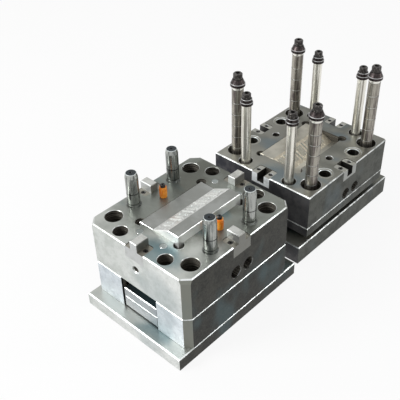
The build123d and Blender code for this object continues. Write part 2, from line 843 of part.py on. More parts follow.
def ejector_base_plate():
    body = ejector_plate(base_bottom, ejector_base_thickness)
    for cut in ejector_through_cuts(base_bottom, ejector_base_thickness):
        body -= cut
    sink = ejector_screw["height"] + screw_sink_margin
    for x, y in ejector_screw_places():
        body -= screw_hole(ejector_screw, x, y, base_bottom + sink, sink, up=False)
    return body - upright(crane_thread_radius, ejector_base_thickness, 0, 0, base_bottom)


def ejector_retainer_plate():
    body = ejector_plate(retainer_bottom, ejector_retainer_thickness)
    for cut in ejector_through_cuts(retainer_bottom, ejector_retainer_thickness):
        body -= cut
    reach = ejector_screw["length"] + ejector_screw["height"] + 2 * screw_sink_margin
    pins = ejector_pin_places()
    returns = corners(return_x, return_y)
    for places, radius, depth in ((pins, ejector_pin_radius + bolt_clearance, ejector_retainer_thickness),
                                  (pins, ejector_head_radius + bolt_clearance, ejector_head_height),
                                  (returns, return_radius + bolt_clearance, ejector_retainer_thickness),
                                  (returns, return_head_radius + bolt_clearance, return_head_height),
                                  (ejector_screw_places(), ejector_screw["shank"] + seat_clearance,
                                   reach - ejector_base_thickness)):
        body = bored(body, places, radius, depth, retainer_bottom)
    return body


def ejector_guide_bush():
    length = retainer_top - base_bottom
    bore = guide_pin_radius + running_clearance
    return flanged_bush(guide_sleeve_radius, bore, length, guide_sleeve_radius, small_bevel)


def rest_button(x, y):
    body = upright(rest_button_radius, rest_button_height, x, y, spacer_bottom)
    body = chamfer(body.edges().group_by(Axis.Z)[-1], ejector_low_bevel)
    stem = guide_pin_bite - pin_end_gap
    return body + upright(rest_button_stem, stem, x, y, spacer_bottom - stem)


def support_pillar(y):
    body = upright(pillar_radius, spacer_height, 0, y, spacer_bottom)
    size = pillar_screw_size()
    bite = size["length"] + size["height"] + 2 * screw_sink_margin - spacer_bottom
    return body - upright(size["shank"] + seat_clearance, bite, 0, y, spacer_bottom)


def nylon_sleeve():
    low = nylon_radius - nylon_bulge
    top = nylon_height - nylon_edge
    face = low - nylon_edge
    side = ThreePointArc((low, 0, nylon_edge), (nylon_radius, 0, nylon_height / 2), (low, 0, top))
    rest = Polyline((low, 0, top), (face, 0, nylon_height), (nylon_bore_radius, 0, nylon_height),
                    (nylon_bore_radius, 0, 0), (face, 0, 0), (low, 0, nylon_edge))
    return revolve(make_face([side, rest]), Axis.Z)


def fixed_clamp_plate():
    body = plain_plate(clamp_length, fixed_clamp_thickness, 0, clamp_corner_radius)
    body -= upright(ring_seat_radius, ring_seat_depth, 0, 0, 0)
    body -= upright(sprue_flange_radius + seat_clearance, sprue_flange_height, 0, 0, ring_seat_depth)
    body -= upright(sprue_stem_radius + seat_clearance, fixed_clamp_thickness, 0, 0, 0)
    for angle in range(4):
        hole = upright(ring_screw_radius, ring_screw_depth, ring_screw_circle, 0, ring_seat_depth)
        body -= Rot(0, 0, 45 + 90 * angle) * hole
    for x, y in corners(support_x, support_y):
        body -= upright(support_radius + seat_clearance, fixed_clamp_thickness, x, y, 0)
        body -= upright(support_head_radius + seat_clearance, support_head_height, x, y, 0)
    shoulder = fixed_clamp_thickness - stop_bolt_web
    for x, y in corners(stop_bolt_x, stop_bolt_y):
        body -= upright(stop_bolt_head_radius + bolt_clearance, shoulder, x, y, 0)
        body -= upright(stop_bolt_radius + bolt_clearance, fixed_clamp_thickness, x, y, 0)
    for x, y in opening_spring_places():
        body -= upright(opening_spring_radius + spring_pocket_clearance, opening_spring_pocket_depth, x, y,
                        fixed_clamp_thickness - opening_spring_pocket_depth)
    places = [(0, y) for y in lock_pin_ys]
    plug_room = lock_pin_plug_height + lock_pin_head_height
    body = bored(body, places, lock_pin_radius + seat_clearance, fixed_clamp_thickness, 0)
    return bored(body, places, lock_pin_plug_radius + seat_clearance, plug_room, 0)


def opening_spring_places():
    return [(-opening_spring_x, 0), (opening_spring_x, 0), (0, -opening_spring_y), (0, opening_spring_y)]


def stripper_plate():
    body = plain_plate(plate_length, stripper_thickness, stripper_bottom, stacked_corner_radius)
    for x, y in corners(support_x, support_y):
        body -= bush_room(support_bush_radius, stripper_thickness, support_bush_head_radius,
                          support_bush_head_height, x, y, stripper_bottom, head_low=False)
    for x, y in corners(puller_x, puller_y):
        body -= upright(puller_thread_radius + seat_clearance, stripper_thickness, x, y, stripper_bottom)
    for x, y in corners(stop_bolt_x, stop_bolt_y):
        body -= upright(stop_bolt_radius + seat_clearance, stripper_thickness - stop_bolt_cover, x, y,
                        stripper_bottom)
    for y in lock_pin_ys:
        body -= upright(lock_pin_radius + bolt_clearance, stripper_thickness, 0, y, stripper_bottom)
    return body - upright(sprue_stem_radius + free_clearance, stripper_thickness, 0, 0, stripper_bottom)


def stop_bolt():
    # Screwed into the stripper plate, with its head under the clamp plate's web.
    shoulder = fixed_clamp_thickness - stop_bolt_web
    end = stripper_bottom + stripper_thickness - stop_bolt_cover - stop_bolt_end_gap
    body = upright(stop_bolt_radius, end - shoulder, 0, 0, shoulder)
    body += upright(stop_bolt_head_radius, stop_bolt_head_height, 0, 0, shoulder - stop_bolt_head_height)
    key = extrude(RegularPolygon(stop_bolt_key / 2, 6), amount=stop_bolt_head_height / 2)
    return body - Pos(0, 0, shoulder - stop_bolt_head_height) * key


def cavity_plate():
    body = plain_plate(plate_length, cavity_plate_thickness, cavity_bottom, stacked_corner_radius)
    body -= insert_pocket(cavity_top, cavity_insert_depth)
    for x, y in corners(leader_x, leader_y):
        body -= mouth_hole(guide_bush_radius + seat_clearance, cavity_plate_thickness, x, y, cavity_top)
        body -= upright(guide_bush_head_radius + seat_clearance, guide_bush_head_height, x, y, cavity_bottom)
    for x, y in corners(support_x, support_y):
        recess = cavity_plate_thickness - support_bush_length
        body -= mouth_hole(support_recess_radius, recess, x, y, cavity_top)
        body -= bush_room(support_bush_radius, support_bush_length, support_bush_head_radius,
                          support_bush_head_height, x, y, cavity_bottom)
    for x, y in corners(puller_x, puller_y):
        body -= upright(puller_radius + bolt_clearance, cavity_plate_thickness, x, y, cavity_bottom)
        body -= mouth_hole(puller_collar_radius + puller_seat_clearance, puller_seat_depth, x, y, cavity_top)
    for side in (-1, 1):
        body -= mouth_hole(nylon_radius, nylon_hole_depth, side * nylon_x, 0, cavity_top)
    floor = cavity_top - cavity_insert_depth
    head_level = floor - insert_screw_grip
    for x, y in insert_screw_places():
        body -= screw_hole(insert_screw_size(), x, y, head_level, head_level - cavity_bottom, up=False)
    for cut in on_sides(lock_pocket(), cavity_top):
        body -= cut
    for cut in water_in_plate(floor, cavity_top - cavity_port_drop, cavity_port_ys, cavity_port_radius):
        body -= cut
    body -= slab(runner_width, 2 * runner_reach, runner_depth, cavity_bottom)
    for y in gate_ys():
        body -= upright(gate_radius, floor - cavity_bottom, 0, y, cavity_bottom)
    return body - crane_holes(cavity_top - cavity_crane_drop)


def gate_ys():
    return [-y for y in form_ys]


def cavity_insert():
    floor = cavity_top - cavity_insert_depth
    body = insert_block(floor, cavity_top, -1)
    for strip in moulded_forms(cavity_top, -1):
        body -= strip
    thread = insert_screw_bite + screw_sink_margin
    body = bored(body, insert_screw_places(), insert_screw["shank"] + seat_clearance, thread, floor)
    for y in gate_ys():
        body -= tapered(gate_radius, gate_tip_radius, cavity_insert_depth, 0, y, floor)
    for cut in water_in_insert(floor, cavity_port_ys):
        body -= cut
    return body


def sprue_bush():
    # Its nose stays inside the stripper plate's hole at every height of that plate.
    top = stripper_bottom + sprue_overlap
    points = [(0, ring_seat_depth), (sprue_flange_radius, ring_seat_depth),
              (sprue_flange_radius, ring_seat_depth + sprue_flange_height),
              (sprue_stem_radius, ring_seat_depth + sprue_flange_height), (sprue_stem_radius, top), (0, top)]
    body = turned(points)
    body -= tapered(sprue_channel_radius, sprue_channel_end_radius, top, 0, 0, 0)
    ball = ring_seat_depth - nozzle_seat_radius + nozzle_seat_sink
    return body - Pos(0, 0, ball) * Sphere(nozzle_seat_radius)


def runner_lock_pin(y):
    # Reaches just above the stripper plate when that plate is pushed home against the clamp plate.
    low = lock_pin_plug_height
    top = fixed_clamp_thickness + stripper_thickness + lock_pin_bite
    body = upright(lock_pin_radius, top - low, 0, y, low)
    return body + upright(lock_pin_plug_radius, lock_pin_head_height, 0, y, low)


def lock_pin_plug(y):
    body = upright(lock_pin_plug_radius, lock_pin_plug_height - small_bevel, 0, y, small_bevel)
    key = extrude(RegularPolygon(lock_pin_plug_radius * plug_key_share, 6), amount=lock_pin_plug_height / 2)
    return body - Pos(0, y, small_bevel) * key


def at(places, shape):
    return [Pos(x, y, 0) * shape for x, y in places]


def lifted(places, z, shape):
    return [Pos(x, y, z) * shape for x, y in places]


def moving_half():
    floor = core_top - core_insert_depth
    head_level = floor - insert_screw_grip
    clamp_places = [(side * x, y) for x, y in clamp_screw_places for side in (-1, 1)]
    clamp_sink = clamp_screw["height"] + screw_sink_margin
    spacer_sink = spacer_screw["height"] + screw_sink_margin
    nylon_places = [(-nylon_x, 0), (nylon_x, 0)]
    pillar_places = [(0, -pillar_y), (0, pillar_y)]
    spring_height = ejector_stroke + return_spring_pocket_depth
    guides = corners(guide_pin_x, guide_pin_y)
    guide_low = spacer_bottom - guide_pin_bite + pin_end_gap
    guide_pin = upright(guide_pin_radius, core_bottom + guide_pin_bite - pin_end_gap - guide_low, 0, 0, guide_low)
    dowel = upright(dowel_radius, dowel_length - 2 * pin_end_gap, 0, 0,
                    spacer_bottom - dowel_length / 2 + pin_end_gap)
    return {
        "moving_clamp_plate": [moving_clamp_plate()],
        "spacer_block_left": [spacer_block(-1)],
        "spacer_block_right": [spacer_block(1)],
        "core_plate": [core_plate()],
        "core_insert": [core_insert()],
        "core_insert_screws": screws(insert_screw_size(), insert_screw_places(), head_level, up=False),
        "core_o_rings": o_rings(floor, core_port_ys),
        "core_water_plug": water_plug(floor),
        "leader_pins": at(corners(leader_x, leader_y), leader_pin()),
        "nylon_lock_sleeves": lifted(nylon_places, core_top, nylon_sleeve()),
        "nylon_lock_screws": screws(nylon_screw, nylon_places, core_top + nylon_height),
        "side_lock_tongues": on_sides(lock_tongue(), core_top),
        "side_lock_tongue_screws": lock_screws(core_top),
        "clamp_plate_screws": screws(clamp_screw, clamp_places, clamp_sink, up=False),
        "spacer_screws": screws(spacer_screw, corners(spacer_screw_x, spacer_screw_y), spacer_sink, up=False),
        "spacer_dowels": at(corners(dowel_x, dowel_y), dowel),
        "support_pillars": [support_pillar(y) for _, y in pillar_places],
        "support_pillar_screws": screws(pillar_screw_size(), pillar_places, spacer_sink, up=False),
        "rest_buttons": [rest_button(x, y) for x, y in rest_button_places()],
        "ejector_guide_pins": at(guides, guide_pin),
        "ejector_guide_bushes": lifted(guides, base_bottom, ejector_guide_bush()),
        "ejector_base_plate": [ejector_base_plate()],
        "ejector_retainer_plate": [ejector_retainer_plate()],
        "ejector_plate_screws": screws(ejector_screw, ejector_screw_places(),
                                       base_bottom + ejector_screw["height"] + screw_sink_margin, up=False),
        "ejector_pins": [ejector_pin(x, y) for x, y in ejector_pin_places()],
        "return_pins": at(corners(return_x, return_y), return_pin()),
        "return_springs": lifted(corners(return_x, return_y), retainer_top,
                                 coil_spring(return_spring_radius, spring_height, return_spring_turns)),
    }


def fixed_half():
    floor = cavity_top - cavity_insert_depth
    head_level = floor - insert_screw_grip
    collar_bottom = cavity_top + support_rise
    puller_end = cavity_top + puller_rise
    cap_bottom = collar_bottom + collar_height + collar_cone_height
    near_pin = (support_x, -support_y)
    other_pins = [place for place in corners(support_x, support_y) if place != near_pin]
    spring_height = stripper_gap + opening_spring_pocket_depth
    spring_floor = fixed_clamp_thickness - opening_spring_pocket_depth
    bush_length = cavity_plate_thickness - guide_bush_setback
    bush = flanged_bush(guide_bush_radius, leader_radius + running_clearance, bush_length,
                        guide_bush_head_radius, guide_bush_head_height)
    plate_bush = flanged_bush(support_bush_radius, support_radius + running_clearance, support_bush_length,
                              support_bush_head_radius, support_bush_head_height)
    stripper_bush = flanged_bush(support_bush_radius, support_radius + running_clearance, stripper_thickness,
                                 support_bush_head_radius, support_bush_head_height, head_low=False)
    return {
        "fixed_clamp_plate": [fixed_clamp_plate()],
        "support_pins": at(other_pins, support_pin(support_groove_pitch)) +
                        at([near_pin], support_pin(near_support_groove_pitch)),
        "support_pin_collars": lifted(corners(support_x, support_y), collar_bottom, support_collar()),
        "support_pin_screws": screws(collar_screw, corners(support_x, support_y), cap_bottom),
        "sprue_bush": [sprue_bush()],
        "runner_lock_pins": [runner_lock_pin(y) for y in lock_pin_ys],
        "runner_lock_pin_plugs": [lock_pin_plug(y) for y in lock_pin_ys],
        "opening_springs": lifted(opening_spring_places(), spring_floor,
                                  coil_spring(opening_spring_radius, spring_height, opening_spring_turns)),
        "stripper_plate": [stripper_plate()],
        "stripper_bushes": lifted(corners(support_x, support_y), stripper_bottom, stripper_bush),
        "stripper_stop_bolts": at(corners(stop_bolt_x, stop_bolt_y), stop_bolt()),
        "puller_bolts": at(corners(puller_x, puller_y), puller_rod()),
        "puller_collars": lifted(corners(puller_x, puller_y), puller_end, puller_collar()),
        "puller_screws": screws(puller_screw, corners(puller_x, puller_y),
                                puller_end + puller_collar_height - puller_collar_recess),
        "cavity_plate": [cavity_plate()],
        "cavity_insert": [cavity_insert()],
        "cavity_insert_screws": screws(insert_screw_size(), insert_screw_places(), head_level, up=False),
        "cavity_o_rings": o_rings(floor, cavity_port_ys),
        "cavity_water_plug": water_plug(floor),
        "guide_bushes": lifted(corners(leader_x, leader_y), cavity_bottom, bush),
        "cavity_support_bushes": lifted(corners(support_x, support_y), cavity_bottom, plate_bush),
        "side_lock_sockets": on_sides(lock_socket(), cavity_top),
        "side_lock_socket_screws": lock_screws(cavity_top),
    }


def write(nodes, place):
    for name, solids in nodes.items():
        placed = [place * solid for solid in solids]
        shape = placed[0] if len(placed) == 1 else Compound(children=placed)
        export_step(shape, f"parts/{name}.step")


if __name__ == "__main__":
    os.makedirs("parts", exist_ok=True)
    write(moving_half(), moving_place)
    write(fixed_half(), fixed_place)
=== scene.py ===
import json
import math

import bpy
from mathutils import Matrix, Vector

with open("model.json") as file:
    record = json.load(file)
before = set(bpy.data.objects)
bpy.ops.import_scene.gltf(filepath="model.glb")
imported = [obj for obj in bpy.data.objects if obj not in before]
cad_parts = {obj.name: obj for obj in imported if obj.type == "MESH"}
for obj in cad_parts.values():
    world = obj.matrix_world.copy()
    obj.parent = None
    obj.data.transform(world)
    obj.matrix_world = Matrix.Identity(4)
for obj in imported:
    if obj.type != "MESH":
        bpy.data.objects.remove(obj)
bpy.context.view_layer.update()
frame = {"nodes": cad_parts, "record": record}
nodes = frame["nodes"]
print("frame loaded:", len(nodes), "nodes")


class Wire:
    # a shader value that can be used in plain sums
    def __init__(self, tree, socket):
        self.tree = tree
        self.socket = socket

    def maths(self, operation, *others):
        node = self.tree.nodes.new("ShaderNodeMath")
        node.operation = operation
        for place, value in enumerate((self,) + others):
            feed(self.tree, node.inputs[place], value)
        return Wire(self.tree, node.outputs[0])

    def __add__(self, other):
        return self.maths("ADD", other)

    __radd__ = __add__

    def __mul__(self, other):
        return self.maths("MULTIPLY", other)

    __rmul__ = __mul__

    def __sub__(self, other):
        return self.maths("SUBTRACT", other)

    def __rsub__(self, other):
        return (self * -1.0) + other

    def __abs__(self):
        return self.maths("ABSOLUTE")


def feed(tree, socket, value):
    if isinstance(value, Wire):
        tree.links.new(value.socket, socket)
    elif isinstance(value, (tuple, list)) and socket.type == "RGBA":
        socket.default_value = (*value, 1.0)
    else:
        socket.default_value = value


def addNode(tree, kind, settings=None, output=0, places=None, **sockets):
    node = tree.nodes.new("ShaderNode" + kind)
    for key, value in (settings or {}).items():
        setattr(node, key, value)
    for place, value in (places or {}).items():
        feed(tree, node.inputs[place], value)
    for key, value in sockets.items():
        feed(tree, node.inputs[key.replace("_", " ")], value)
    return Wire(tree, node.outputs[output])


def grey(red, green=None, blue=None):
    # a colour as a screen shows it, 0 to 255, in the shader's linear scale
    parts = (red, red if green is None else green, red if blue is None else blue)
    return tuple(p / 255 / 12.92 if p < 10.3 else ((p / 255 + 0.055) / 1.055) ** 2.4 for p in parts)


class Finish:
    # a new material with the patterns and masks that the finishes share
    def __init__(self, name):
        self.material = bpy.data.materials.new(name)
        self.material.use_nodes = True
        self.tree = self.material.node_tree
        self.shader = next(n for n in self.tree.nodes if n.type == "BSDF_PRINCIPLED")
        self.place = self.node("TexCoord", output="Object")

    def node(self, kind, *rest, **more):
        return addNode(self.tree, kind, *rest, **more)

    def parts(self, vector):
        split = self.node("SeparateXYZ", Vector=vector).socket.node
        return [Wire(self.tree, socket) for socket in split.outputs]

    def facing(self):
        # how far the surface faces along X, Y and Z, 0 to 1 each
        return [abs(part) for part in self.parts(self.node("NewGeometry", output="True Normal"))]

    def above(self, value, low, high):
        # 0 under low, 1 over high and a smooth step between
        smooth = {"interpolation_type": "SMOOTHSTEP"}
        return self.node("MapRange", smooth, Value=value, From_Min=low, From_Max=high)

    def below(self, value, low, high):
        return 1.0 - self.above(value, low, high)

    def noise(self, scale, detail=4.0, rough=0.55, stretch=None):
        # a pattern around 0.5, finer along the axes that stretch multiplies
        vector = self.node("Mapping", Vector=self.place, Scale=stretch) if stretch else self.place
        return self.node("TexNoise", Vector=vector, Scale=scale, Detail=detail, Roughness=rough)

    def blend(self, share, first, second):
        return self.node("Mix", {"data_type": "RGBA"}, 2, {0: share, 6: first, 7: second})

    def finish(self, colour, rough, metal, relief, depth, strength, **constants):
        bump = self.node("Bump", Height=relief, Distance=depth, Strength=strength)
        inputs = dict(constants, Base_Color=colour, Roughness=rough, Metallic=metal, Normal=bump)
        for key, value in inputs.items():
            feed(self.tree, self.shader.inputs[key.replace("_", " ")], value)
        return self.material


# mould plates: ground tops; milled ends painted bright as lit faces, rough-milled long sides painted dark
# as shaded faces, and broken edges painted as bright highlights
plateLook = {
    "centre": (0.008, -0.253),
    "edge": grey(226, 230, 230), "rim": grey(180, 182, 178), "corner": grey(128, 130, 122),
    "top": grey(122, 126, 120), "topDeep": grey(92, 94, 87), "topPale": grey(178, 181, 176),
    "end": grey(212, 214, 212), "endDeep": grey(176, 180, 176), "teal": grey(84, 112, 118),
    "long": grey(50, 49, 44), "longDeep": grey(32, 32, 28),
    "hole": grey(140, 136, 126), "holeShade": grey(30, 28, 26),
    # in metres: where the dimmer rim copy of the painted edge highlight starts, and the heights between
    # which side bores are drilled
    "rimFrom": 0.271, "drilled": (0.150, 0.235),
    "patterns": {
        "cloud": {"scale": 7.0, "detail": 5.0},
        "patch": {"scale": 5.5, "detail": 2.0, "stretch": (1.0, 1.5, 1.0)},
        "mottle": {"scale": 110.0, "detail": 6.0, "rough": 0.75},
        "sand": {"scale": 300.0, "detail": 3.0, "rough": 0.6},
        "blotch": {"scale": 34.0, "detail": 5.0, "rough": 0.65},
        "turned": {"scale": 6.0, "detail": 3.0, "rough": 0.6, "stretch": (2.0, 2.0, 200.0)},
        "grinding": {"scale": 9.0, "detail": 3.0, "rough": 0.6, "stretch": (6.0, 160.0, 160.0)},
        "milling": {"scale": 12.0, "detail": 3.0, "rough": 0.6, "stretch": (4.0, 4.0, 60.0)},
    },
    # where each mask starts and ends: facings and patterns from 0 to 1, distances from the middle in metres
    "steps": {
        "flat": (0.93, 0.98), "upright": (0.3, 0.45), "boreWall": (0.05, 0.15), "rimSide": (0.4, 0.6),
        "cutCorner": (0.4, 0.65), "longSide": (0.76, 0.92),
        "insideX": (0.169, 0.172), "insideY": (0.193, 0.1965), "insideCorner": (0.336, 0.343),
        "boredX": (0.1715, 0.1735), "boredY": (0.1965, 0.1975),
        "topDeep": (0.42, 0.62), "topPale": (0.04, 0.20), "topTeal": (0.54, 0.68), "film": (0.04, 0.11),
        "endDeep": (0.42, 0.62), "endRight": (-0.22, 0.06), "longDeep": (0.40, 0.64),
        "sideTeal": (0.52, 0.70), "mottled": (0.40, 0.66), "sanded": (0.45, 0.7),
        "turned": (0.35, 0.6), "patchyHighlight": (0.44, 0.60),
    },
    "shares": {
        "topTeal": 0.6, "film": 0.7, "ground": 0.35, "endBlotch": 0.4, "endLeft": 0.6, "sideTeal": 0.35,
        "mottled": 0.12, "sanded": 0.09, "patchyHighlight": 0.6, "milling": 0.6, "mottleRelief": 0.7,
    },
    "form": {
        # the film's middle from the plate's, how much more Y counts than X in it, how wavy borders are
        "film": (0.055, -0.165), "filmNarrow": 4.0, "filmWave": 0.06, "paleWave": 0.5,
        # how much an end darkens with height, the lowest grinding that shows, a sharp step in metres
        "endSlope": 0.5, "groundFrom": 0.4, "sharp": 0.001,
    },
    "shine": {
        "rough": 0.46, "roughMottle": 0.3, "roughLevel": 0.09, "roughCloud": 0.2, "roughEdge": 0.15,
        "metal": 0.45, "metalLevel": 0.4, "metalHole": 0.1,
        "depth": 0.00025, "strength": 0.35, "specular": 0.2,
    },
}
# the fixed half: ends and cut corners painted dark as shade
fixedPlateLook = dict(
    plateLook, centre=(-0.008, 0.253), edge=grey(208, 211, 210), corner=grey(66, 66, 64),
    top=grey(118, 118, 111), topDeep=grey(92, 93, 86), topPale=grey(144, 144, 136), teal=grey(90, 106, 114),
    end=grey(90, 89, 90), endDeep=grey(36, 37, 44), long=grey(78, 80, 74), longDeep=grey(54, 56, 50),
    drilled=(0.1125, 0.18), rimFrom=0.5,
)
ejectorPlateLook = dict(
    plateLook, top=grey(58), topDeep=grey(44), topPale=grey(70),
    end=grey(178, 181, 184), endDeep=grey(150, 152, 154),
)
# spacer blocks: ends painted pale as lit faces and long sides painted dark as shaded faces
boxLook = dict(
    plateLook, end=grey(222, 228, 232), endDeep=grey(172, 180, 186),
    long=grey(38, 37, 33), longDeep=grey(24, 24, 20),
)


def plateSteel(name, look):
    m = Finish(name)
    step, share, form, shine = look["steps"], look["shares"], look["form"], look["shine"]
    x, y, z = m.parts(m.place)
    facingX, facingY, facingZ = m.facing()
    cloud, patch, mottle, sand, blotch, turned, grinding, milling = (
        m.noise(**pattern) for pattern in look["patterns"].values())
    across, along = abs(x - look["centre"][0]), abs(y - look["centre"][1])

    # the walls of side bores lie just inside the long sides and ends, in one band of height
    low, high = look["drilled"]
    bore = (m.below(across, *step["boredX"]) * m.below(along, *step["boredY"])
            * m.above(facingZ, *step["boreWall"])
            * m.above(z, low, low + form["sharp"]) * m.below(z, high, high + form["sharp"]))
    flat = m.above(facingZ, *step["flat"])
    upright = m.below(facingZ, *step["upright"])
    level = flat * (1.0 - bore)
    broken = (1.0 - flat) * (1.0 - upright) * (1.0 - bore)
    hole = (m.below(across, *step["insideX"]) * m.below(along, *step["insideY"])
            * m.below(across + along, *step["insideCorner"]) * upright).maths("MAXIMUM", bore)

    # tops: paler towards the near end as a painted sheen, with stains, a film of coolant and grinding lines
    top = m.blend(m.above(cloud, *step["topDeep"]), look["top"], look["topDeep"])
    toFront = look["centre"][1] - y + (cloud - 0.5) * form["paleWave"]
    top = m.blend(m.above(toFront, *step["topPale"]), top, look["topPale"])
    top = m.blend(m.above(patch, *step["topTeal"]) * share["topTeal"], top, look["teal"])
    filmX = x - look["centre"][0] - form["film"][0]
    filmY = y - look["centre"][1] - form["film"][1]
    fromMiddle = (filmX * filmX + filmY * filmY * form["filmNarrow"]).maths("SQRT")
    fromFilm = fromMiddle + (blotch - 0.5) * form["filmWave"]
    top = m.blend(m.below(fromFilm, *step["film"]) * share["film"], top, look["teal"])
    top = m.blend((grinding - form["groundFrom"]) * share["ground"], top, look["topPale"])

    # ends, painted bright as lit faces, get paler to the right and the floor; long sides are painted dark
    # as shaded faces, and cut corners lie between ends and long sides in a painted middle shade
    toRight = m.above(x - z * form["endSlope"], *step["endRight"])
    deepEnd = m.above(blotch, *step["endDeep"]) * share["endBlotch"] + (1.0 - toRight) * share["endLeft"]
    end = m.blend(deepEnd, look["end"], look["endDeep"])
    long = m.blend(m.above(blotch, *step["longDeep"]), look["long"], look["longDeep"])
    side = m.blend(m.above(facingX, *step["cutCorner"]), end, look["corner"])
    side = m.blend(m.above(facingX, *step["longSide"]), side, long)
    side = m.blend(m.above(patch, *step["sideTeal"]) * share["sideTeal"], side, look["teal"])
    worn = (m.above(mottle, *step["mottled"]) * share["mottled"]
            + m.above(sand, *step["sanded"]) * share["sanded"])
    side = m.blend(worn, side, look["corner"])
    # bore and pocket walls get a darker colour with dark turned rings: painted shade in the recesses
    side = m.blend(hole, side, m.blend(m.above(turned, *step["turned"]), look["hole"], look["holeShade"]))

    # bevels are painted as bright highlights: the top bevels facing along Y take a dimmer copy, and patches
    # dim the highlight
    rim = m.above(z, look["rimFrom"], look["rimFrom"] + form["sharp"]) * m.above(facingY, *step["rimSide"])
    edge = m.blend(rim, look["edge"], look["rim"])
    edge = m.blend(m.above(blotch, *step["patchyHighlight"]) * share["patchyHighlight"], edge, look["corner"])
    colour = m.blend(broken, m.blend(level, side, top), edge)
    rough = (shine["rough"] + (mottle - 0.5) * shine["roughMottle"] - broken * shine["roughEdge"]
             - level * (shine["roughLevel"] - (cloud - 0.5) * shine["roughCloud"]))
    metal = shine["metal"] + level * shine["metalLevel"] - hole * shine["metalHole"]
    relief = grinding * level + (milling * share["milling"] + mottle * share["mottleRelief"]) * upright
    return m.finish(colour, rough, metal, relief, shine["depth"], shine["strength"],
                    Specular_IOR_Level=shine["specular"])


# ramped inserts: fine ground flats, spark eroded forms that catch the light
coreInsertLook = {
    "flat": grey(148, 150, 147), "flatDeep": grey(132, 134, 130), "ramp": grey(196, 197, 194),
    "spark": grey(240, 242, 240), "wall": grey(232, 234, 231), "end": grey(220, 222, 220),
    "patterns": {
        "cloud": {"scale": 14.0, "detail": 4.0},
        "sparks": {"scale": 160.0, "detail": 5.0, "rough": 0.7},
        "grinding": {"scale": 9.0, "detail": 3.0, "stretch": (170.0, 5.0, 170.0)},
    },
    "steps": {
        "level": (0.95, 0.985), "slant": (0.82, 0.88), "upright": (0.3, 0.45), "endSide": (0.5, 0.8),
        "flatDeep": (0.38, 0.64), "spark": (0.50, 0.66),
    },
    "shine": {
        "rough": 0.34, "roughCloud": 0.2, "roughSpark": 0.3, "sparkMiddle": 0.4,
        "metal": 0.75, "metalDull": 0.25, "grinding": 0.6, "depth": 0.0003, "strength": 0.4,
    },
}
cavityInsertLook = dict(
    coreInsertLook, flat=grey(172, 169, 158), flatDeep=grey(144, 142, 132), ramp=grey(176, 168, 150),
    spark=grey(226, 220, 200), wall=grey(200, 208, 210), end=grey(212, 218, 218),
)


def insertSteel(name, look):
    m = Finish(name)
    step, shine = look["steps"], look["shine"]
    facingX, facingY, facingZ = m.facing()
    cloud, sparks, grinding = (m.noise(**pattern) for pattern in look["patterns"].values())
    level = m.above(facingZ, *step["level"])
    slant = m.above(facingZ, *step["slant"]) * (1.0 - level)
    upright = m.below(facingZ, *step["upright"])
    flat = m.blend(m.above(cloud, *step["flatDeep"]), look["flat"], look["flatDeep"])
    ramp = m.blend(m.above(sparks, *step["spark"]), look["ramp"], look["spark"])
    side = m.blend(m.above(facingY, *step["endSide"]), look["wall"], look["end"])
    # bevels between the flats and the walls take the near-white spark colour as a painted highlight
    colour = m.blend(upright, look["spark"], side)
    colour = m.blend(level, m.blend(slant, colour, ramp), flat)
    rough = (shine["rough"] + (cloud - 0.5) * shine["roughCloud"]
             + slant * (sparks - shine["sparkMiddle"]) * shine["roughSpark"])
    metal = shine["metal"] - (slant + upright) * shine["metalDull"]
    relief = grinding * level * shine["grinding"] + sparks * slant
    return m.finish(colour, rough, metal, relief, shine["depth"], shine["strength"])


# ground round steel: fine rings, and long dark streaks along each pin, partly oil smears and partly painted
# reflection streaks
leaderLook = {
    "colour": grey(168, 170, 166), "deep": grey(104, 108, 106), "end": grey(54, 59, 62),
    "rim": grey(204, 210, 210), "rough": 0.2, "groove": grey(26), "hole": grey(24, 25, 26),
    # in metres: the pins' axes from the half's middle, and the steps at the hole, the skin and the top
    "grooves": {"middle": (0.008, -0.253), "pin": (0.136, 0.073), "hole": (0.0040, 0.0046),
                "skin": (0.0168, 0.0172), "top": (0.364, 0.365)},
    "patterns": {
        "rings": {"scale": 8.0, "detail": 3.0, "rough": 0.65, "stretch": (3.0, 3.0, 240.0)},
        "streaks": {"scale": 9.0, "detail": 3.0, "rough": 0.6, "stretch": (26.0, 26.0, 0.8)},
        "smear": {"scale": 36.0, "detail": 5.0, "rough": 0.65, "stretch": (1.0, 1.0, 0.4)},
    },
    "steps": {"flat": (0.9, 0.97), "rim": (0.4, 0.6), "deep": (0.44, 0.60)},
    "shine": {
        "streakShare": 0.6, "smearShare": 0.4, "roughRings": 0.2, "roughSmear": 0.2, "roughFlat": 0.12,
        "metal": 0.9, "streakRelief": 0.3, "depth": 0.00015, "strength": 0.35,
    },
}
supportLook = dict(
    leaderLook, colour=grey(164, 160, 150), deep=grey(96, 88, 86), rough=0.3, groove=grey(236, 234, 226),
    grooves={"middle": (-0.008, 0.253), "pin": (0.137, 0.143), "hole": (0.0040, 0.0046),
             "skin": (0.0168, 0.0172), "top": (0.4375, 0.4385)},
)
plainLook = dict(leaderLook, grooves=None)
pullerLook = dict(plainLook, colour=grey(238, 236, 227), deep=grey(196, 192, 182), rough=0.3)
collarLook = dict(
    plainLook, colour=grey(66, 59, 58), deep=grey(38, 34, 34), end=grey(58, 55, 54),
    rim=grey(170), rough=0.34,
)
bushLook = dict(
    plainLook, colour=grey(118, 116, 106), deep=grey(84, 82, 74), end=grey(138, 138, 130), rough=0.3,
)
returnLook = dict(plainLook, end=grey(142, 148, 146), rim=grey(226))


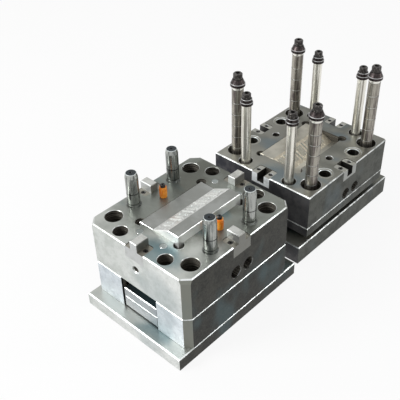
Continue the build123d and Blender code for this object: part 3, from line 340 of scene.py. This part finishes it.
def roundSteel(name, look):
    m = Finish(name)
    step, shine, grooves = look["steps"], look["shine"], look["grooves"]
    facingZ = m.facing()[2]
    rings, streaks, smear = (m.noise(**pattern) for pattern in look["patterns"].values())
    flat = m.above(facingZ, *step["flat"])
    rim = m.above(facingZ, *step["rim"]) * (1.0 - flat)
    oilAndReflectionStreaks = m.above(streaks * shine["streakShare"] + smear * shine["smearShare"], *step["deep"])
    colour = m.blend(oilAndReflectionStreaks, look["colour"], look["deep"])
    colour = m.blend(flat, colour, look["end"])
    # the chamfer rim is painted as a bright highlight
    colour = m.blend(rim, colour, look["rim"])
    if grooves:
        # a groove's floor and the centre hole lie closer to the pin's axis than its skin; the centre hole
        # is painted dark as shade, and so are the leader pins' groove floors
        x, y, z = m.parts(m.place)
        fromX = abs(x - grooves["middle"][0]) - grooves["pin"][0]
        fromY = abs(y - grooves["middle"][1]) - grooves["pin"][1]
        reach = (fromX * fromX + fromY * fromY).maths("SQRT")
        floor = m.below(reach, *grooves["skin"]) * m.below(z, *grooves["top"])
        colour = m.blend(floor * (1.0 - flat), colour, look["groove"])
        colour = m.blend(m.below(reach, *grooves["hole"]), colour, look["hole"])
    rough = (look["rough"] + (rings - 0.5) * shine["roughRings"] + (smear - 0.5) * shine["roughSmear"]
             + flat * shine["roughFlat"])
    relief = rings + streaks * shine["streakRelief"]
    return m.finish(colour, rough, shine["metal"], relief, shine["depth"], shine["strength"])


# side locks: ground blocks; each socket's slot is painted dark as shade
tongueLook = {
    "centre": (0.008, -0.253),
    "end": grey(176, 178, 177), "long": grey(118, 118, 112), "top": grey(134, 131, 121),
    "high": grey(190, 191, 187), "deep": grey(112, 110, 102), "metal": 0.5, "slot": None,
    "patterns": {
        "cloud": {"scale": 45.0, "detail": 5.0, "rough": 0.65},
        "grinding": {"scale": 9.0, "detail": 3.0, "stretch": (8.0, 200.0, 200.0)},
    },
    "steps": {"level": (0.9, 0.98), "longSide": (0.5, 0.8), "deep": (0.46, 0.68), "high": (0.276, 0.277)},
    "shine": {
        "deep": 0.35, "rough": 0.36, "roughCloud": 0.22, "metalLevel": 0.2, "cloudRelief": 0.5,
        "depth": 0.0002, "strength": 0.3,
    },
}
# sockets: the ends are painted near white as lit faces, and the slot colour is painted shade
socketLook = dict(
    tongueLook, centre=(-0.008, 0.253), end=grey(246, 250, 252), long=grey(156, 158, 154),
    top=grey(152, 152, 144), deep=grey(140, 142, 138), metal=0.1,
    slot={"colour": grey(34, 33, 31), "side": (0.8, 0.9), "reach": (0.016, 0.018), "floor": (0.2, 0.202)},
)


def lockSteel(name, look):
    m = Finish(name)
    step, shine, slot = look["steps"], look["shine"], look["slot"]
    x, y, z = m.parts(m.place)
    facingX, facingY, facingZ = m.facing()
    cloud, grinding = (m.noise(**pattern) for pattern in look["patterns"].values())
    level = m.above(facingZ, *step["level"])
    colour = m.blend(m.above(facingX, *step["longSide"]), look["end"], look["long"])
    colour = m.blend(level, colour, m.blend(m.above(z, *step["high"]), look["top"], look["high"]))
    colour = m.blend(m.above(cloud, *step["deep"]) * shine["deep"], colour, look["deep"])
    if slot:
        across, along = abs(x - look["centre"][0]), abs(y - look["centre"][1])
        slotShade = (m.above(facingX, *slot["side"]) * m.below(across, *slot["reach"])
                  + m.above(facingY, *slot["side"]) * m.below(along, *slot["reach"])
                  + level * m.below(z, *slot["floor"]))
        # the slot's walls and floor are painted dark as shade
        colour = m.blend(slotShade, colour, slot["colour"])
    rough = shine["rough"] + (cloud - 0.5) * shine["roughCloud"]
    metal = level * shine["metalLevel"] + look["metal"]
    relief = grinding + cloud * shine["cloudRelief"]
    return m.finish(colour, rough, metal, relief, shine["depth"], shine["strength"])


# small parts: two colours mixed by a fine grain, which is also the relief where there are no rings
blackLook = {
    "colour": grey(34, 33, 33), "second": grey(104, 100, 96), "grain": {"scale": 180.0, "rough": 0.7},
    "mix": (0.48, 0.72), "rings": None, "rough": 0.34, "roughShare": 0.3, "metal": 0.6,
    "depth": 0.0001, "strength": 0.3, "more": {},
}
capLook = dict(blackLook, colour=grey(50, 47, 46), second=grey(126, 122, 118))
nylonLook = dict(
    blackLook, colour=grey(236, 128, 18), second=grey(248, 172, 60), grain={"scale": 55.0, "detail": 3.0},
    mix=(0.4, 0.7), rings={"scale": 7.0, "detail": 2.0, "stretch": (2.0, 2.0, 300.0)},
    rough=0.25, roughShare=0.12, metal=0.0, depth=0.00015, strength=0.25,
    more={"Subsurface_Weight": 0.2, "Subsurface_Scale": 0.004, "Coat_Weight": 0.3, "Coat_Roughness": 0.15},
)
springLook = dict(
    blackLook, colour=grey(46, 78, 140), second=grey(136), grain={"scale": 220.0, "rough": 0.6},
    mix=(0.62, 0.7), rough=0.35, roughShare=0.2, metal=0.1,
)
bronzeLook = dict(
    blackLook, colour=grey(204, 168, 112), second=grey(168, 132, 82), grain={"scale": 60.0},
    mix=(0.4, 0.7), rings={"scale": 8.0, "detail": 3.0, "stretch": (4.0, 4.0, 260.0)},
    rough=0.3, roughShare=0.2, metal=0.95,
)
rubberLook = dict(
    blackLook, colour=grey(34), second=grey(80), grain={"scale": 300.0, "detail": 3.0},
    mix=(0.55, 0.8), rough=0.55, metal=0.0,
)


def smallPart(name, look):
    m = Finish(name)
    grain = m.noise(**look["grain"])
    relief = m.noise(**look["rings"]) if look["rings"] else grain
    colour = m.blend(m.above(grain, *look["mix"]), look["colour"], look["second"])
    rough = look["rough"] + (relief - 0.5) * look["roughShare"]
    return m.finish(colour, rough, look["metal"], relief, look["depth"], look["strength"], **look["more"])


# one finish for each material slot, and others for the pieces that look apart
slotFinishes = {
    "plate_steel": plateSteel("platesOfMovingHalf", plateLook),
    "dark_plate_steel": plateSteel("platesOfFixedHalf", fixedPlateLook),
    "insert_steel": insertSteel("coreInsertSteel", coreInsertLook),
    "cavity_steel": insertSteel("cavityInsertSteel", cavityInsertLook),
    "pin_steel": roundSteel("groundPins", plainLook),
    "support_pin_steel": roundSteel("oiledSupportPins", supportLook),
    "lock_steel": lockSteel("lockTongues", tongueLook),
    "black_screw": smallPart("blackScrews", blackLook),
    "orange_nylon": smallPart("nylonSleeves", nylonLook),
    "spring_steel": smallPart("springs", springLook),
    "bronze": smallPart("bronzeBushes", bronzeLook),
    "seal_rubber": smallPart("waterSeals", rubberLook),
}
ejectorSteel = plateSteel("ejectorPlates", ejectorPlateLook)
boxSteel = plateSteel("spacerBlocks", boxLook)
collarSteel = roundSteel("darkCollars", collarLook)
bushSteel = roundSteel("guideBushes", bushLook)
capSteel = smallPart("capScrews", capLook)
pieceFinishes = {
    "stripper_plate": slotFinishes["dark_plate_steel"],
    "ejector_base_plate": ejectorSteel, "ejector_retainer_plate": ejectorSteel,
    "spacer_block_left": boxSteel, "spacer_block_right": boxSteel,
    "leader_pins": roundSteel("leaderPins", leaderLook),
    "return_pins": roundSteel("returnPins", returnLook),
    "puller_bolts": roundSteel("pullerBolts", pullerLook),
    "puller_collars": collarSteel, "support_pin_collars": collarSteel,
    "guide_bushes": bushSteel, "cavity_support_bushes": bushSteel, "stripper_bushes": bushSteel,
    "puller_screws": capSteel, "support_pin_screws": capSteel,
    "side_lock_sockets": lockSteel("lockSockets", socketLook),
}
slotOf = {part["node"]: part["material_slot"] for part in frame["record"]["subparts"]}
for name, piece in nodes.items():
    for slot in piece.material_slots:
        slot.material = pieceFinishes.get(name, slotFinishes[slotOf[name]])
print("finishes on:", len(nodes), "nodes")


# floor and light: the backdrop is white to the camera and in reflections, and lights the mould plainly
studioLook = {
    "floorColour": grey(226), "floorSpeckle": grey(222), "speckle": {"scale": 400.0, "detail": 3.0},
    "speckled": (0.3, 0.7), "floorRough": 0.8, "floorDepth": 0.0001, "floorStrength": 0.1,
    "floorWhite": 0.9, "floorReach": 30.0, "floorDrop": 0.0004, "skyGlow": 0.42, "target": (0, 0, 0.2),
    "lamps": {
        "keyFrontLeft": {"place": (-1.6, -3.1, 2.3), "width": 1.8, "height": 1.4, "power": 150.0},
        "edgeBackRight": {"place": (2.6, 1.9, 1.6), "width": 0.5, "height": 1.4, "power": 26.0},
        "topFill": {"place": (-0.4, 0.6, 3.4), "width": 1.6, "height": 1.6, "power": 10.0},
    },
}


def seenRays(tree):
    # 1 for what the camera, a reflection or glass looks at, 0 for the light on the mould
    camera, glossy, glass = (addNode(tree, "LightPath", output=name)
                             for name in ("Is Camera Ray", "Is Glossy Ray", "Is Transmission Ray"))
    return camera.maths("MAXIMUM", glossy).maths("MAXIMUM", glass)


def paleFloor(look):
    mesh = bpy.data.meshes.new("paleFloor")
    reach = look["floorReach"]
    corners = [(-reach, -reach, 0), (reach, -reach, 0), (reach, reach, 0), (-reach, reach, 0)]
    mesh.from_pydata(corners, [], [(0, 1, 2, 3)])
    floor = bpy.data.objects.new("paleFloor", mesh)
    bpy.context.collection.objects.link(floor)
    floor.location.z = -look["floorDrop"]
    m = Finish("paleFloor")
    speckle = m.noise(**look["speckle"])
    colour = m.blend(m.above(speckle, *look["speckled"]), look["floorColour"], look["floorSpeckle"])
    m.finish(colour, look["floorRough"], 0.0, speckle, look["floorDepth"], look["floorStrength"])
    glow = m.node("Emission", Color=(1, 1, 1))
    plain = Wire(m.tree, m.shader.outputs[0])
    mix = m.node("MixShader", places={0: seenRays(m.tree) * look["floorWhite"], 1: plain, 2: glow})
    out = next(n for n in m.tree.nodes if n.type == "OUTPUT_MATERIAL")
    m.tree.links.new(mix.socket, out.inputs["Surface"])
    mesh.materials.append(m.material)


def studioSky(look):
    world = bpy.data.worlds.new("studioSky")
    bpy.context.scene.world = world
    world.use_nodes = True
    tree = world.node_tree
    tree.nodes.clear()
    seen = seenRays(tree)
    back = addNode(tree, "Background", Color=(1, 1, 1), Strength=seen + (1.0 - seen) * look["skyGlow"])
    out = tree.nodes.new("ShaderNodeOutputWorld")
    tree.links.new(back.socket, out.inputs["Surface"])


def softbox(name, look, target):
    lamp = bpy.data.lights.new(name, "AREA")
    lamp.shape = "RECTANGLE"
    lamp.size = look["width"]
    lamp.size_y = look["height"]
    lamp.energy = look["power"]
    box = bpy.data.objects.new(name, lamp)
    bpy.context.collection.objects.link(box)
    box.location = look["place"]
    box.rotation_euler = (Vector(target) - Vector(look["place"])).to_track_quat("-Z", "Y").to_euler()


paleFloor(studioLook)
studioSky(studioLook)
for name, lampLook in studioLook["lamps"].items():
    softbox(name, lampLook, studioLook["target"])
print("stage and light set")


# the photograph's camera, fitted to the plates' corners and the pins
cameraLook = {
    "place": (0.99909, -1.22899, 1.38477), "yaw": 44.4, "pitch": 37.641, "roll": -2.023,
    "lens": 62.03, "sensor": 36.0,
}


def photoCamera(look):
    yaw, pitch, roll = (math.radians(look[turn]) for turn in ("yaw", "pitch", "roll"))
    forward = Vector((-math.sin(yaw) * math.cos(pitch), math.cos(yaw) * math.cos(pitch), -math.sin(pitch)))
    right = forward.cross(Vector((0, 0, 1))).normalized()
    up = right.cross(forward)
    level = right * math.cos(roll) + up * math.sin(roll)
    upright = up * math.cos(roll) - right * math.sin(roll)
    data = bpy.data.cameras.new("photoCamera")
    data.sensor_width = look["sensor"]
    data.lens = look["lens"]
    camera = bpy.data.objects.new("photoCamera", data)
    bpy.context.collection.objects.link(camera)
    turn = Matrix((level, upright, -forward)).transposed()
    camera.matrix_world = Matrix.Translation(look["place"]) @ turn.to_4x4()
    bpy.context.scene.camera = camera


photoCamera(cameraLook)
bpy.context.scene.view_settings.view_transform = "Standard"
print("camera set")
